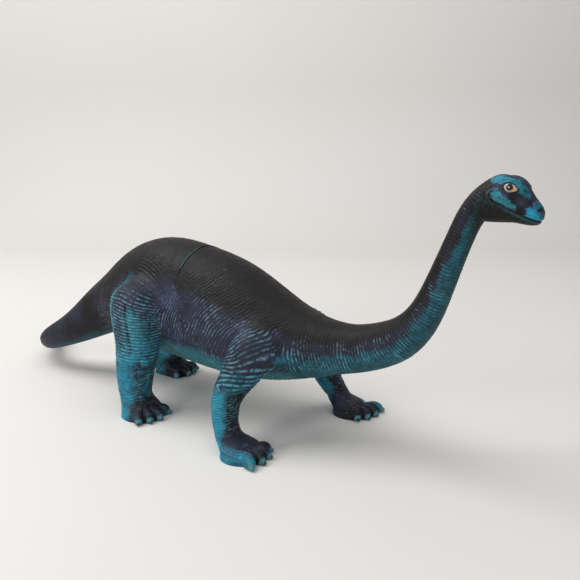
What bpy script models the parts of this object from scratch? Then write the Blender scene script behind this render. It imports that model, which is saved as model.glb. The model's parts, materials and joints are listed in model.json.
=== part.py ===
"""A long-necked toy dinosaur of eight hollow soft vinyl mouldings, joined by round plugs.

Metres, +X is the way the animal walks, +Y its left side, +Z up, soles on the ground.
"""
import bpy
import bmesh
from math import cos, sin, pi, radians
from mathutils import Matrix, Vector

# Material and fit
WALL = 0.0024
RUNNING_GAP = 0.0003
SOCKET_WALL = 0.0022
OVERRUN = 0.004
WELD = 0.000002

# Rear and front body, measured from the seam between them
BACK_HEIGHT = 0.0938
TORSO_WIDTH = 0.056
REAR_LENGTH = 0.074
FRONT_LENGTH = 0.086
SPIGOT_LENGTH = 0.005
SPIGOT_WALL = 0.0018

# Neck and head
NECK_REACH = 0.0625
NECK_RISE = 0.072
NECK_THICKNESS = 0.026
NECK_MOUTH_HEIGHT = 0.0487
NAPE_PITCH = radians(25)
HEAD_LENGTH = 0.0268
HEAD_WIDTH = 0.0148
HEAD_DEPTH = 0.018
HEAD_PITCH = radians(-13)

# Tail
TAIL_REACH = 0.120
TAIL_SWING = 0.060
TAIL_THICKNESS = 0.0376
TAIL_MOUTH_HEIGHT = 0.050

# How far round its joint a leg sweeps along the body, of the leg's thickness there
SWEEP_SHARE = 0.60

# Where the legs leave the body, measured forward from the body seam; the hips clear the spigot
HIP_SPREAD = 0.026
HIP_HEIGHT = 0.057
HIP_THICKNESS = 0.031
HIP_ADVANCE = -(SPIGOT_LENGTH + 2 * RUNNING_GAP + SWEEP_SHARE * HIP_THICKNESS + WALL)
SHOULDER_ADVANCE = 0.053
SHOULDER_SPREAD = 0.022
SHOULDER_HEIGHT = 0.047
SHOULDER_THICKNESS = 0.023
LEG_SEAM_TILT = radians(12)
THIGH_BEND_SHARE = 0.5
SEAT_RAISE = 0.0005
PAD_DEPTH = 0.012
HIP_PAD_FLARE = 0.0025
SHOULDER_PAD_FLARE = 0.001

# Feet
HIND_FOOT_SPREAD = 0.034
FRONT_FOOT_SPREAD = 0.0372
FOOT_LENGTH = 0.026
FOOT_WIDTH = 0.0225
FOOT_HEIGHT = 0.0095
TOE_LENGTH = 0.0085
TOE_WIDTH = 0.0062
TOE_HEIGHT = 0.0066
TOE_TURNS = (radians(-42), radians(-6), radians(32))

# Plugs
HIP_PLUG_RADIUS = 0.0075
SHOULDER_PLUG_RADIUS = 0.0055
NECK_PLUG_RADIUS = 0.0065
TAIL_PLUG_RADIUS = 0.0085
PLUG_WALL = 0.0018
FLANGE_LIP = 0.0018
FLANGE_THICKNESS = 0.0018

# Counts
RING_POINTS = 12
PLUG_SIDES = 32
TOE_SIDES = 12

# Torso sections: distance from the body seam, top and bottom of BACK_HEIGHT, half width of
# TORSO_WIDTH, and how far the lower flank draws in
REAR_SHARES = [
    (0.00, 0.962, 0.253, 0.490, 0.10),
    (0.25, 0.998, 0.258, 0.480, 0.25),
    (0.49, 0.986, 0.269, 0.455, 0.30),
    (0.76, 0.912, 0.290, 0.400, 0.15),
]
FRONT_SHARES = [
    (0.265, 0.914, 0.243, 0.490, 0.05),
    (0.490, 0.805, 0.256, 0.455, 0.15),
    (0.655, 0.726, 0.284, 0.400, 0.25),
    (0.830, 0.666, 0.330, 0.320, 0.10),
]
# Neck path: reach of NECK_REACH, rise of NECK_RISE, radius of NECK_THICKNESS
NECK_SHARES = [
    (0.000, 0.000, 0.477),
    (0.168, 0.022, 0.430),
    (0.344, 0.072, 0.405),
    (0.493, 0.133, 0.375),
    (0.603, 0.216, 0.328),
    (0.684, 0.314, 0.286),
    (0.747, 0.433, 0.257),
    (0.802, 0.562, 0.236),
    (0.864, 0.708, 0.219),
    (0.915, 0.826, 0.208),
    (0.958, 0.917, 0.212),
]
# Nape section: half heights of HEAD_DEPTH and half width of HEAD_WIDTH
NAPE_SHARES = (0.300, 0.455, 0.430)
# Head sections: distance of HEAD_LENGTH, top and bottom of HEAD_DEPTH, half width of HEAD_WIDTH
HEAD_SHARES = [
    (0.130, 0.670, -0.345, 0.460),
    (0.260, 0.770, -0.310, 0.495),
    (0.430, 0.765, -0.245, 0.500),
    (0.580, 0.725, -0.175, 0.475),
    (0.685, 0.600, -0.155, 0.390),
    (0.785, 0.455, -0.145, 0.330),
    (0.900, 0.335, -0.110, 0.300),
    (0.975, 0.235, -0.045, 0.200),
]
# Tail path: reach of TAIL_REACH, swing of TAIL_SWING, height of TAIL_MOUTH_HEIGHT, radius of
# TAIL_THICKNESS
TAIL_SHARES = [
    (0.000, 0.000, 1.000, 0.500),
    (0.067, -0.042, 0.905, 0.440),
    (0.142, -0.100, 0.785, 0.380),
    (0.233, -0.175, 0.635, 0.302),
    (0.333, -0.233, 0.510, 0.245),
    (0.433, -0.250, 0.408, 0.210),
    (0.525, -0.200, 0.322, 0.178),
    (0.608, -0.100, 0.262, 0.150),
    (0.700, 0.050, 0.210, 0.125),
    (0.792, 0.233, 0.172, 0.106),
    (0.875, 0.433, 0.144, 0.088),
    (0.942, 0.650, 0.120, 0.072),
    (0.983, 0.850, 0.100, 0.051),
    (1.000, 1.000, 0.088, 0.027),
]
# Leg paths: way down and forward of the joint's height, way out to the foot, half length and
# half width of the leg's thickness at the joint
HIND_RIGHT_SHARES = [
    (0.20, 0.040, 0.40, 0.430, 0.400),
    (0.36, 0.065, 0.60, 0.385, 0.360),
    (0.58, 0.052, 0.86, 0.345, 0.325),
    (0.76, 0.055, 0.96, 0.290, 0.275),
]
HIND_LEFT_SHARES = [
    (0.20, -0.030, 0.45, 0.430, 0.400),
    (0.36, -0.130, 0.65, 0.380, 0.360),
    (0.58, -0.340, 0.88, 0.335, 0.325),
    (0.76, -0.530, 0.95, 0.285, 0.275),
]
FRONT_RIGHT_SHARES = [
    (0.23, -0.090, 0.45, 0.400, 0.380),
    (0.40, -0.165, 0.78, 0.335, 0.320),
    (0.55, -0.175, 0.92, 0.310, 0.290),
    (0.72, -0.150, 0.97, 0.262, 0.262),
]
FRONT_LEFT_SHARES = [
    (0.23, 0.010, 0.40, 0.390, 0.370),
    (0.43, 0.060, 0.60, 0.350, 0.330),
    (0.60, 0.130, 0.75, 0.300, 0.290),
    (0.75, 0.200, 0.90, 0.262, 0.262),
]
# Where each foot's middle stands: forward of its joint, of the joint's height, and outward of the
# foot spread
HIND_RIGHT_STEP_SHARES = (0.145, 1.02)
HIND_LEFT_STEP_SHARES = (-0.49, 0.66)
FRONT_RIGHT_STEP_SHARES = (0.065, 1.03)
FRONT_LEFT_STEP_SHARES = (0.40, 0.97)
# Foot sections: height of FOOT_HEIGHT, shift, length and width of the foot's length and width
HIND_FOOT_SHARES = [
    (1.00, -0.15, 0.64, 0.76),
    (0.62, 0.00, 0.83, 0.93),
    (0.15, 0.04, 0.92, 1.00),
]
FRONT_FOOT_SHARES = [
    (1.00, -0.32, 0.46, 0.60),
    (0.74, -0.27, 0.48, 0.68),
    (0.52, -0.04, 0.72, 0.92),
    (0.12, 0.07, 0.78, 1.02),
]
# How far out along the foot each toe's middle lies
HIND_TOE_REACH_SHARE = 0.44
FRONT_TOE_REACH_SHARE = 0.43

PARTS = "toy_dinosaur"
CUTTERS = "cutters"
FORWARD = Vector((1, 0, 0))
UP = Vector((0, 0, 1))


def start():
    """Empties the scene and makes the two collections."""
    for ob in list(bpy.data.objects):
        bpy.data.objects.remove(ob, do_unlink=True)
    for name in (PARTS, CUTTERS):
        bpy.context.scene.collection.children.link(bpy.data.collections.new(name))


def add(name, mesh, collection=CUTTERS):
    """Links a new object; cutters and unfinished solids show as wires."""
    ob = bpy.data.objects.new(name, mesh)
    bpy.data.collections[collection].objects.link(ob)
    if collection == CUTTERS:
        ob.hide_render = True
        ob.display_type = "WIRE"
    return ob


def settle(ob):
    """Applies an object's modifiers."""
    evaluated = ob.evaluated_get(bpy.context.evaluated_depsgraph_get())
    mesh = bpy.data.meshes.new_from_object(evaluated)
    ob.modifiers.clear()
    ob.data = mesh
    return ob


def ring(centre, tangent, side, half_side, half_up, half_down=None, draw_in=0):
    """One section of a form: its middle, the way along, the way to one side and its half sizes."""
    tangent = tangent.normalized()
    side = (side - side.dot(tangent) * tangent).normalized()
    up = tangent.cross(side)
    return centre, side, up, half_side, half_up, half_up if half_down is None else half_down, draw_in


def outline(section, shrink):
    """The cage points of one section, set out so that the smooth form keeps the stated sizes."""
    centre, side, up, half_side, half_up, half_down, draw_in = section
    fullness = (4 + 2 * cos(2 * pi / RING_POINTS)) / 6
    points = []
    for k in range(RING_POINTS):
        angle = 2 * pi * k / RING_POINTS
        across = cos(angle) * (half_side - shrink) / fullness
        along = sin(angle) * ((half_up if sin(angle) > 0 else half_down) - shrink) / fullness
        across *= 1 + draw_in * min(0, sin(angle))
        points.append(centre + side * across + up * along)
    return points


def form(name, sections, shrink=0, collection=CUTTERS):
    """A closed smooth form through sections, from a coarse cage."""
    bm = bmesh.new()
    loops = [[bm.verts.new(p) for p in outline(s, shrink)] for s in sections]
    for first, second in zip(loops, loops[1:]):
        for k in range(RING_POINTS):
            after = (k + 1) % RING_POINTS
            bm.faces.new((first[k], first[after], second[after], second[k]))
    bm.faces.new(loops[0][::-1])
    bm.faces.new(loops[-1])
    bmesh.ops.recalc_face_normals(bm, faces=bm.faces)
    mesh = bpy.data.meshes.new(name)
    bm.to_mesh(mesh)
    bm.free()
    ob = add(name, mesh, collection)
    smooth = ob.modifiers.new("smooth", "SUBSURF")
    smooth.levels = smooth.render_levels = 1
    return settle(ob)


def trim(ob, point, normal):
    """Takes away what lies past a plane and closes the cut flat."""
    bm = bmesh.new()
    bm.from_mesh(ob.data)
    everything = bm.verts[:] + bm.edges[:] + bm.faces[:]
    bmesh.ops.bisect_plane(bm, geom=everything, dist=WELD, plane_co=point, plane_no=normal, clear_outer=True)
    bmesh.ops.holes_fill(bm, edges=[e for e in bm.edges if e.is_boundary], sides=0)
    bm.to_mesh(ob.data)
    bm.free()
    return ob


def combine(ob, other, operation):
    """Joins another solid to an object, or cuts it away."""
    step = ob.modifiers.new(other.name, "BOOLEAN")
    step.operation = operation
    step.object = other
    return settle(ob)


def cylinder(name, start_point, direction, radius, length, flare=0):
    """A round bar from a point along a direction, wider at its far end if it is flared."""
    bm = bmesh.new()
    bmesh.ops.create_cone(
        bm, cap_ends=True, segments=PLUG_SIDES, radius1=radius, radius2=radius + flare, depth=length,
        matrix=Matrix.Translation((0, 0, length / 2)),
    )
    mesh = bpy.data.meshes.new(name)
    turn = UP.rotation_difference(direction.normalized()).to_matrix().to_4x4()
    bmesh.ops.transform(bm, matrix=Matrix.Translation(start_point) @ turn, verts=bm.verts)
    bm.to_mesh(mesh)
    bm.free()
    return add(name, mesh)


def plug(name, mouth, inward, radius):
    """The turned plug of a moulding: a tube through the socket and a lip behind it."""
    reach = SOCKET_WALL + 2 * RUNNING_GAP
    lip = radius + FLANGE_LIP
    outer = [
        (0, reach + FLANGE_THICKNESS), (lip - FLANGE_LIP / 2, reach + FLANGE_THICKNESS),
        (lip, reach + FLANGE_THICKNESS / 2), (lip, reach), (radius, reach),
        (radius, -SOCKET_WALL / 2), (0, -SOCKET_WALL / 2),
    ]
    mesh = bpy.data.meshes.new(name)
    mesh.from_pydata([(r, 0, z) for r, z in outer], [(k, k + 1) for k in range(len(outer) - 1)], [])
    ob = add(name, mesh)
    turn = ob.modifiers.new("turn", "SCREW")
    turn.steps = turn.render_steps = PLUG_SIDES
    turn.use_merge_vertices = True
    turn.merge_threshold = WELD
    ob.rotation_euler = UP.rotation_difference(inward.normalized()).to_euler()
    ob.location = mouth
    return ob


def add_plug(ob, name, mouth, inward, radius):
    """Joins a plug to a moulding and bores it through to the moulding's hollow."""
    combine(ob, plug(name + "_plug", mouth, inward, radius), "UNION")
    length = 2 * SOCKET_WALL + FLANGE_THICKNESS + 2 * OVERRUN
    bore = cylinder(
        name + "_plug_bore", mouth - inward * (SOCKET_WALL + OVERRUN), inward, radius - PLUG_WALL, length
    )
    combine(ob, bore, "DIFFERENCE")


def socket(ob, name, mouth, inward, radius):
    """Cuts the round hole that a plug is pushed through."""
    start_point = mouth - inward * OVERRUN
    hole = cylinder(
        name + "_socket", start_point, inward, radius + RUNNING_GAP, SOCKET_WALL + 2 * OVERRUN
    )
    combine(ob, hole, "DIFFERENCE")


# Torso


def flipped(section):
    """The same section for a form that runs the other way."""
    centre, side, *sizes = section
    return centre, -side, *sizes


def torso_rows():
    """The sections of the body between the tail and the neck."""
    rows = [(-back * REAR_LENGTH, *rest) for back, *rest in reversed(REAR_SHARES)]
    rows += [(ahead * FRONT_LENGTH, *rest) for ahead, *rest in FRONT_SHARES]
    sections = []
    for x, top, bottom, half_width, draw_in in rows:
        middle = Vector((x, 0, (top + bottom) / 2 * BACK_HEIGHT))
        half_height = (top - bottom) / 2 * BACK_HEIGHT
        half = half_width * TORSO_WIDTH
        sections.append(ring(middle, FORWARD, Vector((0, 1, 0)), half, half_height, None, draw_in))
    return sections


def torso_sections():
    """The body's sections with the first two of the tail and of the neck, so that their skins meet."""
    behind = [flipped(section) for section in tail_rows()[1::-1]]
    return behind + torso_rows() + neck_rows()[0][:2]


def torso(name, start_x, end_x, shrink):
    """The body's form between two upright planes."""
    ob = form(name, torso_sections(), shrink)
    trim(ob, Vector((start_x, 0, 0)), -FORWARD)
    return trim(ob, Vector((end_x, 0, 0)), FORWARD)


# Legs


class Leg:
    """Where a leg's seam, plug and path lie."""

    def __init__(self, name, side, front, path, step):
        self.name = name
        self.side = side
        self.front = front
        self.path = path
        self.height = SHOULDER_HEIGHT if front else HIP_HEIGHT
        self.spread = SHOULDER_SPREAD if front else HIP_SPREAD
        self.foot_shares = FRONT_FOOT_SHARES if front else HIND_FOOT_SHARES
        self.toe_reach = FOOT_LENGTH * (FRONT_TOE_REACH_SHARE if front else HIND_TOE_REACH_SHARE)
        self.thickness = SHOULDER_THICKNESS if front else HIP_THICKNESS
        self.plug_radius = SHOULDER_PLUG_RADIUS if front else HIP_PLUG_RADIUS
        advance = SHOULDER_ADVANCE if front else HIP_ADVANCE
        self.joint = Vector((advance, side * self.spread, self.height))
        self.out = Vector((0, side * cos(LEG_SEAM_TILT), -sin(LEG_SEAM_TILT)))
        self.foot_spread = step[1] * (FRONT_FOOT_SPREAD if front else HIND_FOOT_SPREAD)
        self.foot = Vector((advance + step[0] * self.height, side * self.foot_spread, 0))

    def sections(self, with_foot):
        """Sections from inside the body down to the sole."""
        radius = self.thickness / 2
        rings = [ring(self.joint + self.out * far, self.out, FORWARD, radius, radius)
                 for far in (-2 * OVERRUN, 0)]
        near = self.joint + self.out * radius * 0.4
        rings.append(ring(near, self.out - UP * THIGH_BEND_SHARE, FORWARD, radius, radius))
        middles = [near]
        for down, ahead, outward, *_ in self.path:
            y = self.spread + outward * (self.foot_spread - self.spread)
            middles.append(Vector((self.joint.x + ahead * self.height, self.side * y, self.height * (1 - down))))
        middles.append(self.foot + Vector((self.foot_shares[0][1] * FOOT_LENGTH, 0, FOOT_HEIGHT)))
        for before, middle, after, row in zip(middles, middles[1:], middles[2:], self.path):
            half_length, half_width = row[3] * self.thickness, row[4] * self.thickness
            rings.append(ring(middle, after - before, FORWARD, half_length, half_width))
        if with_foot:
            for high, shift, length, width in self.foot_shares:
                middle = self.foot + Vector((shift * FOOT_LENGTH, 0, high * FOOT_HEIGHT))
                rings.append(ring(middle, -UP, FORWARD, length * FOOT_LENGTH / 2, width * FOOT_WIDTH / 2))
            rings.append(ring(self.foot - UP * OVERRUN, -UP, FORWARD, FOOT_LENGTH / 2, FOOT_WIDTH / 2))
        return rings

    def toe(self, number, turn):
        """One rounded toe at the front of the foot, turned outward from the way ahead."""
        bm = bmesh.new()
        bmesh.ops.create_uvsphere(bm, u_segments=TOE_SIDES, v_segments=TOE_SIDES // 2, radius=TOE_LENGTH / 2)
        turned = Matrix.Rotation(self.side * turn, 4, "Z")
        ahead = turned @ Vector((self.toe_reach, 0, 0))
        place = Matrix.Translation(self.foot + ahead + UP * TOE_HEIGHT * 0.35)
        shape = Matrix.Diagonal((1, TOE_WIDTH / TOE_LENGTH, TOE_HEIGHT / TOE_LENGTH, 1))
        bmesh.ops.transform(bm, matrix=place @ turned @ shape, verts=bm.verts)
        mesh = bpy.data.meshes.new(f"{self.name}_toe_{number}")
        bm.to_mesh(mesh)
        bm.free()
        return add(mesh.name, mesh)

    def moulding(self):
        """The hollow leg with its plug."""
        face = self.joint + self.out * RUNNING_GAP / 2
        ob = form(self.name, self.sections(True), 0, PARTS)
        trim(ob, face, -self.out)
        for number, turn in enumerate(TOE_TURNS):
            combine(ob, self.toe(number, turn), "UNION")
        trim(ob, Vector((0, 0, 0)), -UP)
        core = form(self.name + "_hollow", self.sections(False), WALL)
        trim(core, face + self.out * SOCKET_WALL, -self.out)
        combine(ob, core, "DIFFERENCE")
        add_plug(ob, self.name, face, -self.out, self.plug_radius)
        return ob

    def seat(self):
        """Where the body's pad for this leg ends."""
        return self.joint - self.out * RUNNING_GAP / 2

    def pad(self, wall):
        """The body's round pad that the leg turns on, or with a wall its hollow."""
        start_point = self.seat() - self.out * (SOCKET_WALL if wall else 0)
        radius = self.thickness / 2 - wall
        flare = SHOULDER_PAD_FLARE if self.front else HIP_PAD_FLARE
        return cylinder(f"{self.name}_pad_{bool(wall)}", start_point, -self.out, radius, PAD_DEPTH, flare)

    def sweep(self, wall):
        """The space outside the seat that the leg sweeps as it turns, or with a wall the part of the
        body's hollow that has to stay solid behind it."""
        start_point = self.seat() - self.out * (SEAT_RAISE + (SOCKET_WALL if wall else 0))
        radius = SWEEP_SHARE * self.thickness + wall
        return cylinder(f"{self.name}_sweep_{bool(wall)}", start_point, self.out, radius, self.spread)


def legs():
    """The four legs."""
    return [
        Leg("hind_leg_right", -1, False, HIND_RIGHT_SHARES, HIND_RIGHT_STEP_SHARES),
        Leg("hind_leg_left", 1, False, HIND_LEFT_SHARES, HIND_LEFT_STEP_SHARES),
        Leg("front_leg_right", -1, True, FRONT_RIGHT_SHARES, FRONT_RIGHT_STEP_SHARES),
        Leg("front_leg_left", 1, True, FRONT_LEFT_SHARES, FRONT_LEFT_STEP_SHARES),
    ]


def body(name, start_x, end_x, hollow_start, hollow_end, own_legs):
    """A hollow half of the body with the pads and holes of its legs."""
    ob = torso(name, start_x, end_x, 0)
    hollow = torso(name + "_hollow", hollow_start, hollow_end, WALL)
    for leg in own_legs:
        for solid, wall in ((ob, 0), (hollow, WALL)):
            combine(solid, leg.sweep(wall), "DIFFERENCE")
            combine(solid, leg.pad(wall), "UNION")
    combine(ob, hollow, "DIFFERENCE")
    for leg in own_legs:
        socket(ob, leg.name, leg.seat(), -leg.out, leg.plug_radius)
    return ob


def rear_body(own_legs):
    """Hips and the belly behind the seam, open to the front, with the tail's hole."""
    tail_face = -REAR_LENGTH + RUNNING_GAP / 2
    ob = body("rear_body", tail_face, -RUNNING_GAP / 2, tail_face + SOCKET_WALL, OVERRUN, own_legs)
    socket(ob, "tail", Vector((tail_face, 0, TAIL_MOUTH_HEIGHT)), FORWARD, TAIL_PLUG_RADIUS)
    return ob


def front_body(own_legs):
    """Shoulders, chest and belly, with the neck's hole and the spigot glued into the rear body."""
    neck_face = FRONT_LENGTH - RUNNING_GAP / 2
    shoulder_end = SPIGOT_LENGTH / 2
    ob = body(
        "front_body", RUNNING_GAP / 2, neck_face, shoulder_end, neck_face - SOCKET_WALL, own_legs
    )
    spigot = torso("spigot", -SPIGOT_LENGTH, shoulder_end + WALL, WALL + RUNNING_GAP)
    combine(ob, spigot, "UNION")
    bore = torso("spigot_bore", -SPIGOT_LENGTH - OVERRUN, shoulder_end + 2 * WALL, WALL + RUNNING_GAP + SPIGOT_WALL)
    combine(ob, bore, "DIFFERENCE")
    socket(ob, "neck", Vector((neck_face, 0, NECK_MOUTH_HEIGHT)), -FORWARD, NECK_PLUG_RADIUS)
    return ob


# Neck and head


def neck_rows():
    """Sections from the body to the nape."""
    start_point = Vector((FRONT_LENGTH, 0, NECK_MOUTH_HEIGHT))
    middles = [start_point + Vector((reach * NECK_REACH, 0, rise * NECK_RISE)) for reach, rise, _ in NECK_SHARES]
    nape = start_point + Vector((NECK_REACH, 0, NECK_RISE))
    sections = []
    around = [start_point - FORWARD * OVERRUN, *middles, nape]
    for before, middle, after, row in zip(around, middles, around[2:], NECK_SHARES):
        tangent = FORWARD if middle is middles[0] else after - before
        half = row[2] * NECK_THICKNESS
        sections.append(ring(middle, tangent, Vector((0, 1, 0)), half, half))
    return sections, nape


def head_sections(nape):
    """Sections from the nape to the snout."""
    half_up, half_down, half_width = NAPE_SHARES
    tangent = Vector((cos(NAPE_PITCH), 0, sin(NAPE_PITCH)))
    side = Vector((0, 1, 0))
    sections = [
        ring(nape, tangent, side, half_width * HEAD_WIDTH, half_up * HEAD_DEPTH, half_down * HEAD_DEPTH)
    ]
    ahead = Vector((cos(HEAD_PITCH), 0, sin(HEAD_PITCH)))
    over = Vector((-sin(HEAD_PITCH), 0, cos(HEAD_PITCH)))
    for along, top, bottom, half_width in HEAD_SHARES:
        middle = nape + ahead * along * HEAD_LENGTH + over * (top + bottom) / 2 * HEAD_DEPTH
        half_height = (top - bottom) / 2 * HEAD_DEPTH
        sections.append(ring(middle, ahead, side, half_width * HEAD_WIDTH, half_height))
    return sections


def neck_and_head():
    """The neck and head, hollow up to the nape."""
    face = Vector((FRONT_LENGTH + RUNNING_GAP / 2, 0, NECK_MOUTH_HEIGHT))
    neck, nape = neck_rows()
    neck = torso_rows()[-1:] + neck
    ob = form("neck_and_head", neck + head_sections(nape), 0, PARTS)
    trim(ob, face, -FORWARD)
    core = form("neck_hollow", neck, WALL)
    trim(core, face + FORWARD * SOCKET_WALL, -FORWARD)
    combine(ob, core, "DIFFERENCE")
    add_plug(ob, "neck", face, -FORWARD, NECK_PLUG_RADIUS)
    return ob


# Tail


def tail_rows():
    """Sections from the body to the tip."""
    middles = [
        Vector((-REAR_LENGTH - reach * TAIL_REACH, swing * TAIL_SWING, height * TAIL_MOUTH_HEIGHT))
        for reach, swing, height, _ in TAIL_SHARES
    ]
    sections = []
    around = [middles[0] + FORWARD * OVERRUN, *middles, middles[-1] * 2 - middles[-2]]
    for before, middle, after, row in zip(around, middles, around[2:], TAIL_SHARES):
        tangent = -FORWARD if middle is middles[0] else after - before
        half = row[3] * TAIL_THICKNESS
        sections.append(ring(middle, tangent, tangent.cross(-UP), half, half))
    return sections


def tail():
    """The tail, hollow where it is thick."""
    face = Vector((-REAR_LENGTH - RUNNING_GAP / 2, 0, TAIL_MOUTH_HEIGHT))
    sections = [flipped(torso_rows()[0])] + tail_rows()
    ob = form("tail", sections, 0, PARTS)
    trim(ob, face, FORWARD)
    core = form("tail_hollow", [s for s in sections if s[3] > 2 * WALL], WALL)
    trim(core, face - FORWARD * SOCKET_WALL, FORWARD)
    combine(ob, core, "DIFFERENCE")
    add_plug(ob, "tail", face, FORWARD, TAIL_PLUG_RADIUS)
    return ob


# Finish


def vinyl(name, colour, roughness=0.5):
    """Moulded soft vinyl in one colour."""
    material = bpy.data.materials.new(name)
    material.use_nodes = True
    shader = material.node_tree.nodes["Principled BSDF"]
    shader.inputs["Base Color"].default_value = (*colour, 1)
    shader.inputs["Roughness"].default_value = roughness
    return material


def finish(ob, pivot, material):
    """Puts a moulding among the parts, with its origin on its joint, its material and its shading."""
    for collection in list(ob.users_collection):
        collection.objects.unlink(ob)
    bpy.data.collections[PARTS].objects.link(ob)
    ob.hide_render = False
    ob.display_type = "TEXTURED"
    ob.data.transform(Matrix.Translation(-pivot))
    ob.location = pivot
    ob.data.materials.clear()
    ob.data.materials.append(material)
    ob.data.shade_smooth()
    ob.data.set_sharp_from_angle(angle=radians(40))


def centre_on_origin():
    """Moves everything so that the middle of the object's outline lies over the origin."""
    corners = [ob.matrix_world @ Vector(c) for ob in bpy.data.collections[PARTS].objects for c in ob.bound_box]
    middle = Vector([(min(c[k] for c in corners) + max(c[k] for c in corners)) / 2 for k in range(3)])
    for ob in bpy.data.objects:
        ob.location -= Vector((middle.x, middle.y, 0))


def build():
    """Makes the eight mouldings."""
    start()
    all_legs = legs()
    skin = vinyl("dark_vinyl", (0.03, 0.045, 0.055))
    limb = vinyl("blue_vinyl", (0.03, 0.19, 0.25))
    finish(rear_body([leg for leg in all_legs if not leg.front]), Vector((0, 0, HIP_HEIGHT)), skin)
    finish(front_body([leg for leg in all_legs if leg.front]), Vector((0, 0, SHOULDER_HEIGHT)), skin)
    finish(neck_and_head(), Vector((FRONT_LENGTH, 0, NECK_MOUTH_HEIGHT)), limb)
    finish(tail(), Vector((-REAR_LENGTH, 0, TAIL_MOUTH_HEIGHT)), skin)
    for leg in all_legs:
        finish(leg.moulding(), leg.joint, limb)
    bpy.context.view_layer.update()
    centre_on_origin()


build()
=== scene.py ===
"""A toy dinosaur of eight soft vinyl mouldings, with moulded wrinkles, sprayed colour and painted eyes."""
import json
from math import cos, sin, pi, radians

import bmesh
import bpy
import numpy as np
import openvdb
from mathutils import Matrix, Vector


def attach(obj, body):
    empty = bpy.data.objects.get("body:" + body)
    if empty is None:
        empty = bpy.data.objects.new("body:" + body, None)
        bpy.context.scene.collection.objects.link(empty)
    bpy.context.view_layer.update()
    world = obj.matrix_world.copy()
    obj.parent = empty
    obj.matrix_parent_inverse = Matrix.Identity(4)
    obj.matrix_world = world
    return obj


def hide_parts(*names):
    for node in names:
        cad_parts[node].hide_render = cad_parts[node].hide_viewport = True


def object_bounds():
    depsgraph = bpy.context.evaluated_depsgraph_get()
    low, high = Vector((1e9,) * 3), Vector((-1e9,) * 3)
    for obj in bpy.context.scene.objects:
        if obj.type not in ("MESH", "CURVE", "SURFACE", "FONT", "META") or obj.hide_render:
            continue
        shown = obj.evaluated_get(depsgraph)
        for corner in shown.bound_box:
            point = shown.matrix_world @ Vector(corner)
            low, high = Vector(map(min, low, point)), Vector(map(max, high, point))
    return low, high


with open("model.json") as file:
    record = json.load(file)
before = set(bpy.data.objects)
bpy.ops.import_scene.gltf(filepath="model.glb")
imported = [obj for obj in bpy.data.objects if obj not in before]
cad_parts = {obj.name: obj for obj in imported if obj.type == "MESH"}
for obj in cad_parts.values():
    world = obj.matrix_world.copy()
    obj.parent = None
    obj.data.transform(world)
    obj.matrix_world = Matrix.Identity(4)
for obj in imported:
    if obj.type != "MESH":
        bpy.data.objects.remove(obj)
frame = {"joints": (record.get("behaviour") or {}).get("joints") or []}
cad_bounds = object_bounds()

# Hindquarters: the rear body and the two hind legs
# Three hollow mouldings of soft PVC vinyl. The skin was moulded as one run of wrinkles and parted at
# the hips, where each leg turns on its plug, and at the seam where the front body is glued in.

FORWARD = Vector((1, 0, 0))
LEFT = Vector((0, 1, 0))
UP = Vector((0, 0, 1))
TO_MM = 1000
# Each moulding ends this far short of a seam's plane
SEAM_GAP = 0.00005
RING_POINTS = 12
FRONT_LENGTH = 0.086
REAR_LENGTH = 0.074
NECK_MOUTH_HEIGHT = 0.0487
BACK_HEIGHT = 0.0938
TORSO_WIDTH = 0.056
# Places in the drawings are metres from the seam between the bodies, at ground height
neck_joint = [joint for joint in frame["joints"] if joint["name"] == "neck_swivel"][0]["pos_m"]
SEAM_PLACE = Vector(neck_joint) - Vector((FRONT_LENGTH, 0, NECK_MOUTH_HEIGHT))

# Distance from the seam, top and bottom of the back's height, half width, draw-in of the flank
TORSO_SHARES = [
    (-0.05624, 0.912, 0.290, 0.400, 0.15), (-0.03626, 0.986, 0.269, 0.455, 0.30),
    (-0.0185, 0.998, 0.258, 0.480, 0.25), (0, 0.962, 0.253, 0.490, 0.10),
    (0.02279, 0.914, 0.243, 0.490, 0.05), (0.04214, 0.805, 0.256, 0.455, 0.15),
    (0.05633, 0.726, 0.284, 0.400, 0.25), (0.07138, 0.666, 0.330, 0.320, 0.10),
]
NECK_REACH = 0.0625
NECK_RISE = 0.072
NECK_THICKNESS = 0.026
# Shares of the neck's reach, rise and thickness
NECK_SHARES = [
    (0, 0, .477), (.168, .022, .430), (.344, .072, .405), (.493, .133, .375), (.603, .216, .328),
    (.684, .314, .286), (.747, .433, .257), (.802, .562, .236), (.864, .708, .219),
    (.915, .826, .208), (.958, .917, .212),
]
TAIL_REACH = 0.120
TAIL_SWING = 0.060
TAIL_THICKNESS = 0.0376
TAIL_MOUTH_HEIGHT = 0.050
# Shares of the tail's reach, swing, mouth's height and thickness
TAIL_SHARES = [
    (0, 0, 1, .5), (.067, -.042, .905, .440), (.142, -.100, .785, .380), (.233, -.175, .635, .302),
    (.333, -.233, .510, .245), (.433, -.250, .408, .210), (.525, -.200, .322, .178),
    (.608, -.100, .262, .150), (.700, .050, .210, .125), (.792, .233, .172, .106),
    (.875, .433, .144, .088), (.942, .650, .120, .072), (.983, .850, .100, .051), (1, 1, .088, .027),
]


def ring(centre, tangent, side, half_side, half_up, half_down=None, draw_in=0):
    """One section of a form: its middle, the two ways across, its half sizes and the share by which its
    lower half is drawn in."""
    tangent = tangent.normalized()
    side = (side - side.dot(tangent) * tangent).normalized()
    return centre, side, tangent.cross(side), half_side, half_up, half_down or half_up, draw_in


def flipped(section):
    """The same section for a form that runs the other way."""
    centre, side, *sizes = section
    return centre, -side, *sizes


def path_rows(middles, radii, before, after):
    """Round sections square to a path."""
    around = [before, *middles, after]
    return [
        (middle, b - a, radius)
        for a, middle, b, radius in zip(around, middles, around[2:], radii)
    ]


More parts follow.
